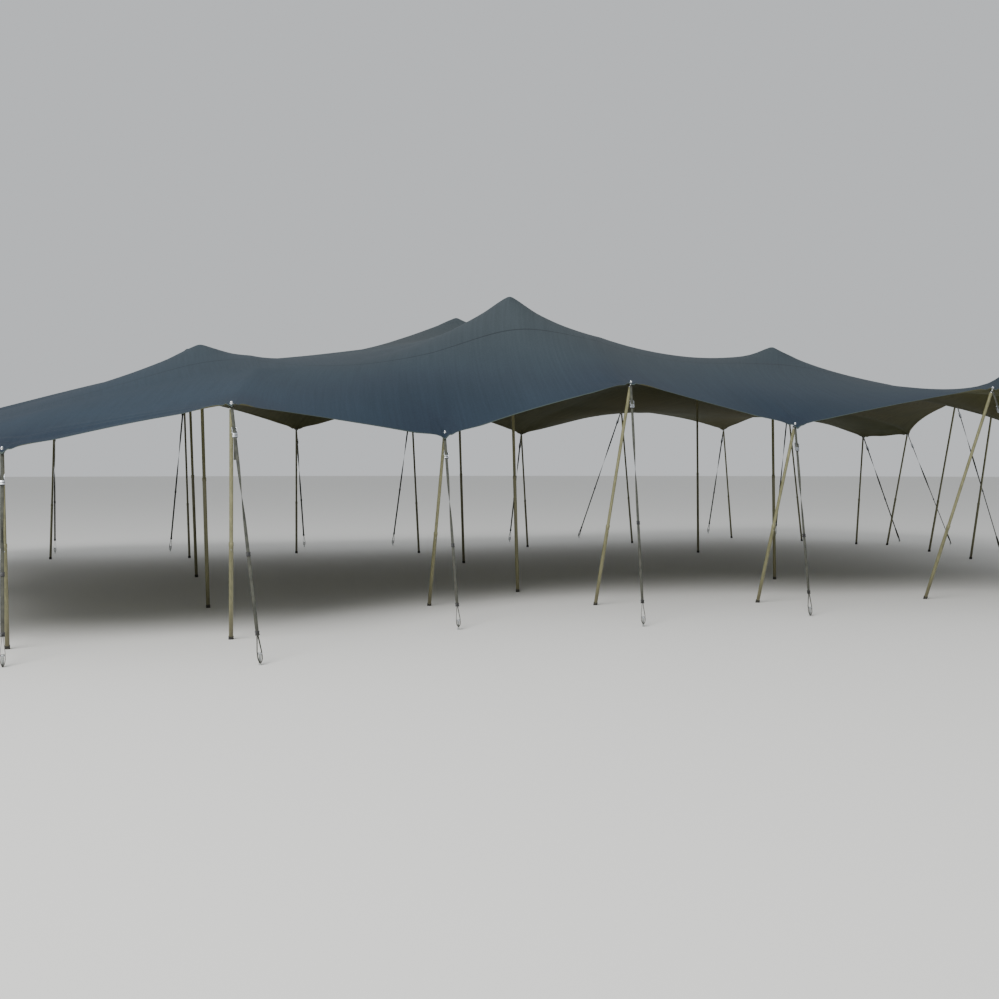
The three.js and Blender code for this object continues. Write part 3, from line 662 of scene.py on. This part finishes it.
# Grey polyester webbing: ribs across it 2 mm apart, too fine to show, so they are drawn 7 mm apart, with
# a darker selvedge along both edges, and darker towards the ground.
grey_webbing, tree, shader, where = new_material("grey_polyester_webbing")
place = node(tree, "ShaderNodeSeparateXYZ", {0: where.outputs["Object"]})
strip = node(tree, "ShaderNodeSeparateXYZ", {0: where.outputs["UV"]})
rib = node(tree, "ShaderNodeMath", {0: strip, 1: 2 * math.pi / 0.007}, operation="MULTIPLY")
rib = node(tree, "ShaderNodeMath", {0: rib}, operation="SINE")
wear = node(tree, "ShaderNodeTexNoise", {"Vector": where.outputs["Object"], "Scale": 22.0, "Detail": 4.0})
worn = node(tree, "ShaderNodeMapRange", {0: wear, 1: 0.3, 2: 0.7})
base = node(tree, "ShaderNodeMix", {0: worn, 6: colour("#3a3c37"), 7: colour("#515249")}, data_type="RGBA")
edge = node(tree, "ShaderNodeMath", {0: strip.outputs[1], 1: 0.5}, operation="SUBTRACT")
edge = node(tree, "ShaderNodeMath", {0: edge}, operation="ABSOLUTE")
edge = node(tree, "ShaderNodeMapRange", {0: edge, 1: 0.39, 2: 0.43, 3: 1.0, 4: 0.68})
ribbed = node(tree, "ShaderNodeMapRange", {0: rib, 1: -1.0, 2: 1.0, 3: 0.88, 4: 1.06})
tone = node(tree, "ShaderNodeMath", {0: edge, 1: ribbed}, operation="MULTIPLY")
toned = node(tree, "ShaderNodeVectorMath", {0: base.outputs[2], "Scale": tone}, operation="SCALE")
# Darker over the lowest half metre of the strap.
low = node(tree, "ShaderNodeMapRange", {0: place.outputs[2], 1: 0.05, 2: 0.50, 3: 0.6, 4: 0.0})
darker_low = node(tree, "ShaderNodeMix", {0: low, 6: toned, 7: colour("#37342c")}, data_type="RGBA")
relief = node(tree, "ShaderNodeBump", {"Height": rib, "Strength": 0.25, "Distance": 0.0006})
connect(tree, shader, {"Base Color": darker_low.outputs[2], "Roughness": 0.82, "IOR": 1.5,
                       "Specular IOR Level": 0.3, "Normal": relief})

# Zinc-plated steel of the ratchets and of the stakes' hammered heads: bright, with a fine cloudy crystal.
zinc_plate, tree, shader, where = new_material("zinc_plated_steel")
cloud = node(tree, "ShaderNodeTexNoise", {"Vector": where.outputs["Object"], "Scale": 60.0, "Detail": 4.0})
clouded = node(tree, "ShaderNodeMapRange", {0: cloud, 1: 0.3, 2: 0.7})
base = node(tree, "ShaderNodeMix", {0: clouded, 6: colour("#c3c6ca"), 7: colour("#a9adb0")}, data_type="RGBA")
gloss = node(tree, "ShaderNodeMapRange", {0: cloud, 1: 0.3, 2: 0.7, 3: 0.24, 4: 0.42})
connect(tree, shader, {"Base Color": base.outputs[2], "Metallic": 1.0, "Roughness": gloss})

# Black moulded nylon of the keepers and of the ratchets' grips.
black_nylon, tree, shader, where = new_material("black_moulded_nylon")
grit = node(tree, "ShaderNodeTexNoise", {"Vector": where.outputs["Object"], "Scale": 300.0, "Detail": 2.0})
shade = node(tree, "ShaderNodeMapRange", {0: grit, 1: 0.3, 2: 0.7})
base = node(tree, "ShaderNodeMix", {0: shade, 6: colour("#141415"), 7: colour("#232325")}, data_type="RGBA")
relief = node(tree, "ShaderNodeBump", {"Height": grit, "Strength": 0.2, "Distance": 0.0003})
connect(tree, shader, {"Base Color": base.outputs[2], "Roughness": 0.45, "IOR": 1.53, "Normal": relief})

# Hot-dip galvanised steel of the stakes: pale, duller than the ratchets, with grains some 8 mm across.
galvanised, tree, shader, where = new_material("hot_dip_galvanised_steel")
grain = node(tree, "ShaderNodeTexVoronoi", {"Vector": where.outputs["Object"], "Scale": 120.0})
grained = node(tree, "ShaderNodeSeparateColor", {0: grain.outputs["Color"]})
base = node(tree, "ShaderNodeMix", {0: grained, 6: colour("#c9ccca"), 7: colour("#a3a7a6")}, data_type="RGBA")
gloss = node(tree, "ShaderNodeMapRange", {0: grained.outputs[1], 3: 0.40, 4: 0.58})
connect(tree, shader, {"Base Color": base.outputs[2], "Metallic": 1.0, "Roughness": gloss})


def bar(name, material, size, middle, soften=0.0012, turn=(0, 0, 0), pinch=None):
    """A flat or square part: a cube at its size and place with its edges softened. Pinch cuts one end in
    four and narrows it by a factor."""
    bpy.ops.mesh.primitive_cube_add(size=1, location=middle, scale=size, rotation=turn)
    piece = bpy.context.object
    piece.name = name
    if pinch:
        bpy.ops.object.mode_set(mode="EDIT")
        select_faces(piece, lambda spot, normal: normal.x > 0.9)
        bpy.ops.mesh.subdivide()
        bpy.ops.transform.resize(value=(1, pinch, pinch), center_override=tuple(middle))
        bpy.ops.object.mode_set(mode="OBJECT")
    bpy.ops.object.transform_apply()
    return finished(piece, material, soften)


def lay_across(piece, middle):
    """Turns an upright round part to lie across the strap, with its foot at the middle's y."""
    pick(piece)
    piece.rotation_euler = (math.radians(-90), 0, 0)
    piece.location = middle
    bpy.ops.object.transform_apply()
    return piece


# The ratchet, modelled lying along x: two pressed cheeks on a base plate, a bolt at the upper end, the drum
# with the strap wound on it, two toothed wheels with their pawl, and the handle folded down over them with
# its black grip.
teeth = 11
parts = []
for side in (-1, 1):
    parts += [bar("cheek", zinc_plate, (0.100, 0.0022, 0.020), (-0.006, side * 0.0215, -0.003), 0.0007),
              bar("arm", zinc_plate, (0.088, 0.0022, 0.016), (0.010, side * 0.0250, 0.006), 0.0007,
                  turn=(0, math.radians(5), 0))]
    wheel = turned("wheel", zinc_plate, 0.0, 0.0150, 0.0024, [(0.0095, 0.0026), (0.0095, 0.0040)],
                   sides=2 * teeth, soften=0)
    bpy.ops.object.mode_set(mode="EDIT")
    bpy.ops.mesh.select_mode(type="VERT")
    bpy.ops.mesh.select_all(action="DESELECT")
    for vert in bmesh.from_edit_mesh(wheel.data).verts:
        rim = vert.co.xy.length > 0.0148
        step = math.atan2(vert.co.y, vert.co.x) / (2 * math.pi / (2 * teeth))
        vert.select_set(rim and round(step) % 2 == 0)
    bmesh.update_edit_mesh(wheel.data)
    bpy.ops.transform.resize(value=(1.16, 1.16, 1), center_override=(0, 0, 0))
    bpy.ops.object.mode_set(mode="OBJECT")
    parts.append(lay_across(wheel, (0.0, side * 0.0208 - 0.002, 0.0)))
parts += [
    lay_across(turned("drum", zinc_plate, 0.0, 0.0070, 0.056, [(0.0050, 0.0575)], sides=16),
               (0.0, -0.028, 0.0)),
    lay_across(turned("wound_strap", grey_webbing, 0.0, 0.0132, 0.034, [(0.0118, 0.0345)]),
               (0.0, -0.017, 0.0)),
    lay_across(turned("bolt", zinc_plate, 0.0, 0.0065, 0.0035, [(0.0040, 0.0036), (0.0040, 0.0460),
                      (0.0062, 0.0461), (0.0062, 0.0500)], sides=12, soften=0.0004),
               (-0.048, -0.025, -0.003)),
    bar("base", zinc_plate, (0.040, 0.042, 0.0022), (-0.030, 0.0, -0.012), 0.0007),
    bar("bridge", zinc_plate, (0.018, 0.050, 0.0022), (0.047, 0.0, 0.011), 0.0007),
    bar("grip", black_nylon, (0.030, 0.052, 0.012), (0.047, 0.0, 0.006), 0.0030, pinch=0.88),
    bar("pawl", zinc_plate, (0.022, 0.040, 0.0030), (0.022, 0.0, 0.012), 0.0007,
        turn=(0, math.radians(-8), 0))]
ratchet_model = joined("ratchet_model", parts)
ratchet_model.transform(Matrix.Scale(0.86, 4))      # the same ratchet, in the size for a 28 mm strap

# The keeper that holds two plies of strap together: a moulded sleeve with a rib round each end.
keeper_model = joined("keeper_model", [
    bar("sleeve", black_nylon, (0.032, 0.0345, 0.0100), (0, 0, 0), 0.0024),
    bar("rib", black_nylon, (0.007, 0.0385, 0.0135), (-0.0140, 0, 0), 0.0024),
    bar("rib", black_nylon, (0.007, 0.0385, 0.0135), (0.0140, 0, 0), 0.0024)])

# The stake: a galvanised pin driven in, its head spread and polished by the hammer, which keeps the strap's
# loop from slipping off.
stake_model = joined("stake_model", [
    turned("stake", galvanised, 0.0, 0.0095, 0.080, [(0.0100, 0.082), (0.0100, 0.087)], sides=20,
           soften=0.0005),
    turned("stake_head", zinc_plate, 0.085, 0.0145, 0.087, [(0.0163, 0.090), (0.0165, 0.096),
           (0.0140, 0.0992), (0.0070, 0.1000)], sides=20, soften=0.0007)])


def loop_round(name, material, ring, thick, flatten):
    """A flat ring of strap or wire round a pin."""
    bpy.ops.mesh.primitive_torus_add(major_segments=28, minor_segments=8, major_radius=ring,
                                     minor_radius=thick)
    piece = bpy.context.object
    piece.name = name
    bpy.ops.object.mode_set(mode="EDIT")
    bpy.ops.mesh.select_all(action="SELECT")
    bpy.ops.transform.resize(value=(1, 1, flatten), center_override=(0, 0, 0))
    bpy.ops.object.mode_set(mode="OBJECT")
    bpy.ops.object.shade_smooth()
    piece.data.materials.append(material)
    return piece


eye_model = joined("eye_model", [loop_round("eye", grey_webbing, 0.0162, 0.0072, 0.34),
                                 loop_round("eyelet", bright_steel, 0.0104, 0.0024, 1.0)])


strap_width = 0.028


def strap(name, line, facing, thick=0.0026, gathered=None):
    """A flat strap along a line of points, facing the given way at each, and narrower and thicker where it is
    gathered. Its map runs along and across it."""
    half = [(-0.5, 0.0), (-0.46, 0.5), (0.46, 0.5), (0.5, 0.0), (0.46, -0.5), (-0.46, -0.5)]
    points, faces, run, gone = [], [], [], 0.0
    for k, (spot, face, width) in enumerate(zip(line, facing, gathered or [strap_width] * len(line))):
        ahead = (line[min(k + 1, len(line) - 1)] - line[max(k - 1, 0)]).normalized()
        side = ahead.cross(face).normalized()
        up = side.cross(ahead)
        gone += (spot - line[k - 1]).length if k else 0.0
        run.append(gone)
        points += [spot + side * (a * width) + up * (b * thick * strap_width / width) for a, b in half]
    for k in range(len(line) - 1):
        for m in range(6):
            n = (m + 1) % 6
            faces.append((k * 6 + m, k * 6 + n, k * 6 + 6 + n, k * 6 + 6 + m))
    faces += [tuple(range(5, -1, -1)), tuple(len(points) - 6 + m for m in range(6))]
    shape = bpy.data.meshes.new(name)
    shape.from_pydata(points, [], faces)
    uv = shape.uv_layers.new(name="UVMap")
    for loop in shape.loops:
        row, corner = divmod(loop.vertex_index, 6)
        uv.data[loop.index].uv = (run[row], half[corner][0] + 0.5)
    shape.materials.append(grey_webbing)
    piece = in_scene(name, shape)
    pick(piece)
    bpy.ops.object.mode_set(mode="EDIT")
    bpy.ops.mesh.select_all(action="SELECT")
    bpy.ops.mesh.normals_make_consistent(inside=False)
    bpy.ops.object.mode_set(mode="OBJECT")
    bpy.ops.object.shade_smooth_by_angle(angle=math.radians(50))
    return piece


def placed(model, name, spot, x, y, z):
    """A copy of a model with its own mesh, its axes laid along x, y and z at a spot."""
    shape = model.copy()
    shape.transform(Matrix.Translation(spot) @ Matrix((x, y, z)).transposed().to_4x4())
    return in_scene(name, shape)


# The spare ends that hang loose from a ratchet, and their lengths.
spare_ends = {"front_1": 0.55, "front_2": 0.22, "right_2": 0.45}
# Down the strap to the ratchet, and from where the strap parts to the stake's neck.
ratchet_drop, loop_length = 0.230, 0.190
eye_below_nut, eye_to_strap, neck_height = 0.0265, 0.020, 0.068
middle_keeper = 0.62        # of the way from the ratchet to the parting
strap_steps, loop_steps, side_steps = 64, 36, 10
for name, (tip, ground_spot, stake) in supports.items():
    axis = pole_axis[name]
    eye_spot = Vector((*ground_spot, 0)) + axis * (nut_height[name] - eye_below_nut)
    stake_spot = Vector((*stake, 0))
    neck = stake_spot + Vector((0, 0, neck_height))
    outward = neck - eye_spot
    outward = (outward - axis * outward.dot(axis)).normalized()
    start = eye_spot + outward * eye_to_strap
    down = (neck - start).normalized()
    across = down.cross(axis).normalized()
    out = across.cross(down)
    parting = (neck - start).length - loop_length
    keepers = (ratchet_drop + (parting - ratchet_drop) * middle_keeper, parting)
    line, facing = [], []
    for k in range(strap_steps + 1):
        gone = parting * k / strap_steps
        twist = min(max((gone - ratchet_drop - 0.10) / (keepers[0] - ratchet_drop - 0.20), 0.0), 1.0)
        angle = math.pi * twist * twist * (3 - 2 * twist)
        lift = 0.005 * max(0.0, 1.0 - abs(gone - ratchet_drop) / 0.05)
        line.append(start + down * gone + out * lift)
        facing.append(out * math.cos(angle) + across * math.sin(angle))
    # The loop: down past one side of the stake's head, gathered round the far side of its neck, and up past
    # the other side of the head.
    near_side = Vector((-down.y, down.x, 0)).normalized()
    if near_side.dot(across) < 0:
        near_side = -near_side
    meet = start + down * (parting - 0.004)
    slope = math.hypot(down.x, down.y)
    sag = (0.0125 + 0.0065 * math.sqrt(1 - slope ** 2)) / slope
    loop, loop_facing, gathered = [], [], []
    for k in range(loop_steps + 1):
        bend = math.pi * min(max((k - side_steps) / (loop_steps - 2 * side_steps), 0.0), 1.0)
        back = min(k, loop_steps - k, side_steps) / side_steps
        aside = (0.0018 + 0.0170 * min(back / 0.8, 1.0)) * math.cos(bend) * abs(math.cos(bend)) ** 0.3
        loop.append(meet.lerp(neck, back) + down * (sag * math.sin(bend)) + near_side * aside)
        loop_facing.append(near_side * math.cos(bend) + down * math.sin(bend))
        gathered.append(strap_width - 0.015 * back ** 3)
    pieces = [
        strap("strap", line, facing),
        placed(eye_model, "eye", eye_spot, outward, axis.cross(outward), axis),
        placed(ratchet_model, "ratchet", start + down * ratchet_drop, down, out.cross(down), out),
        placed(stake_model, "stake", stake_spot, Vector((1, 0, 0)), Vector((0, 1, 0)), Vector((0, 0, 1))),
        strap("loop", loop, loop_facing, gathered=gathered),
    ]
    for gone in keepers:
        pieces.append(placed(keeper_model, "keeper", start + down * gone, down, out.cross(down), out))
    if name in spare_ends:
        hang = [start + down * (ratchet_drop + 0.02) + out * 0.010]
        sway = Vector((out.x, out.y, 0)).normalized()
        for k in range(1, 17):
            t = k / 16
            hang.append(hang[0] + sway * 0.03 * math.sin(2.2 * t) + Vector((0, 0, -spare_ends[name] * t)))
        pieces.append(strap("spare_end", hang, [sway] * len(hang), thick=0.0016))
    stay = in_scene(f"strap_stay_{name}", joined(f"stay_{name}", pieces))
    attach(stay, "root")
    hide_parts(f"stay_{name}")


# Floor and light. A plain pale floor, a pale sky all round, and one large soft lamp high behind the camera.
bpy.ops.mesh.primitive_circle_add(vertices=64, radius=160, fill_type="NGON")
floor = bpy.context.object
floor.name = "floor"
pale_floor = bpy.data.materials.new("pale_floor")
pale_floor.use_nodes = True
connect(pale_floor.node_tree, pale_floor.node_tree.nodes["Principled BSDF"],
        {"Base Color": colour("#d9d8d4"), "Roughness": 0.9})
floor.data.materials.append(pale_floor)

sky = bpy.data.worlds.new("pale_sky")
sky.use_nodes = True
connect(sky.node_tree, sky.node_tree.nodes["Background"], {"Color": colour("#e4e7ea"), "Strength": 0.8})
bpy.context.scene.world = sky

lamp = bpy.data.lights.new("soft_lamp", "AREA")
lamp.shape = "SQUARE"
lamp.size = 14
lamp.energy = 9000
soft_lamp = in_scene("soft_lamp", lamp)
soft_lamp.location = (-18, -18, 20)
soft_lamp.rotation_euler = Vector((18, 18, -19)).to_track_quat("-Z", "Y").to_euler()
